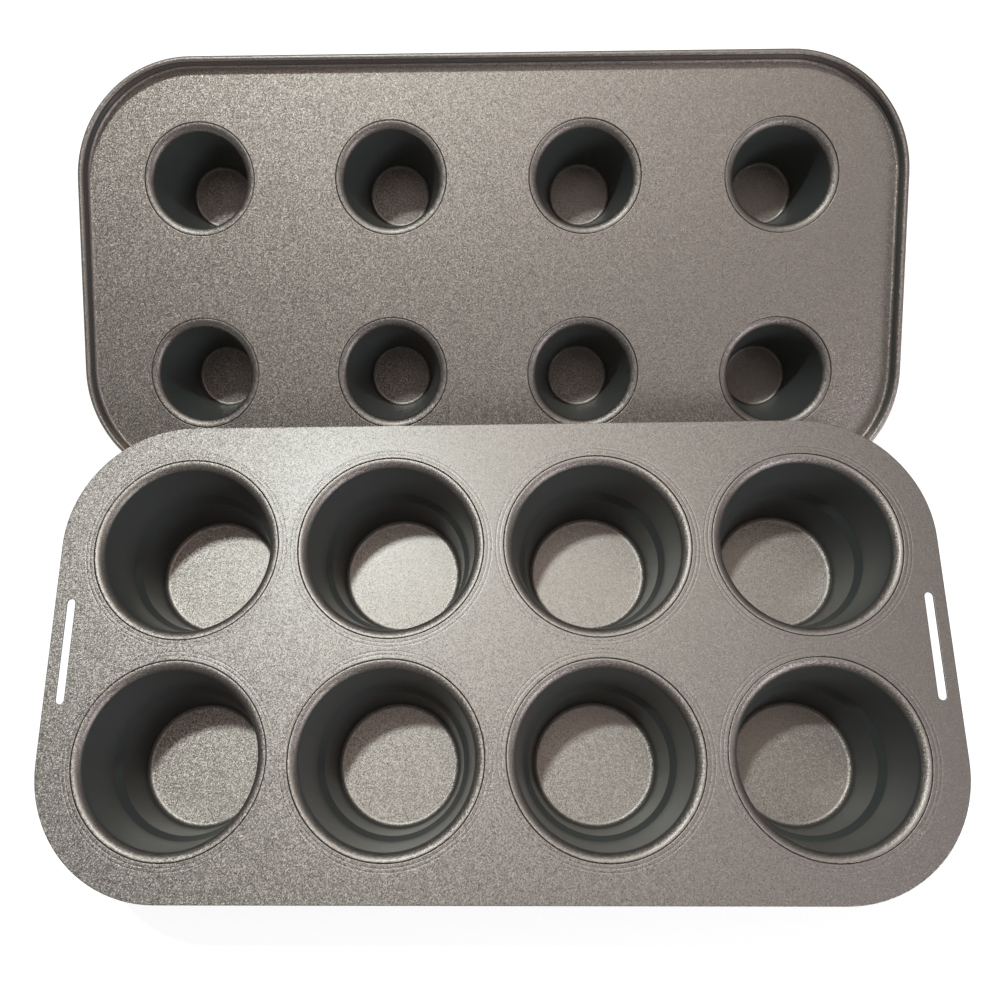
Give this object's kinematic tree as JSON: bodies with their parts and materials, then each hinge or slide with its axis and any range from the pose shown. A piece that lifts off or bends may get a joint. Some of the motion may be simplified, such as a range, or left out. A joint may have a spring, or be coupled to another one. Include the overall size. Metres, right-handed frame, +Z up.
{
  "type": "cake cone pan",
  "caption": "Two-part non-stick baking pan: a plate of stepped cups, and a shallow tray of narrow cones that press hollows into the cakes.",
  "frame": {"origin": "middle of the bounding box on the surface that the pans stand on, with the mould pan level in front and the insert pan leaning behind it", "axes": "+X along the pans to the right, +Y from the mould pan towards the insert pan, +Z up"},
  "size_m": [0.3578, 0.3418, 0.0996],
  "materials": {
    "mould_plate_coating": "satin warm grey non-stick coating with a fine metallic speckle",
    "mould_cup_coating": "darker satin non-stick coating",
    "insert_tray_coating": "satin warm grey non-stick coating with a fine metallic speckle",
    "insert_cup_coating": "darker satin non-stick coating"
  },
  "bodies": {
    "mould_pan": {"mould_plate": "mould_plate_coating", "mould_cup_near_1": "mould_cup_coating", "mould_cup_near_2": "mould_cup_coating", "mould_cup_near_3": "mould_cup_coating", "mould_cup_near_4": "mould_cup_coating", "mould_cup_far_1": "mould_cup_coating", "mould_cup_far_2": "mould_cup_coating", "mould_cup_far_3": "mould_cup_coating", "mould_cup_far_4": "mould_cup_coating"},
    "insert_pan": {"insert_tray": "insert_tray_coating", "insert_cup_near_1": "insert_cup_coating", "insert_cup_near_2": "insert_cup_coating", "insert_cup_near_3": "insert_cup_coating", "insert_cup_near_4": "insert_cup_coating", "insert_cup_far_1": "insert_cup_coating", "insert_cup_far_2": "insert_cup_coating", "insert_cup_far_3": "insert_cup_coating", "insert_cup_far_4": "insert_cup_coating"}
  },
  "joints": [
    {"name": "insert_slide", "type": "slide", "parent": "mould_pan", "child": "insert_pan", "axis": [0.014, 0.919, 0.3939], "range_m": [0, 0.2]}
  ]
}
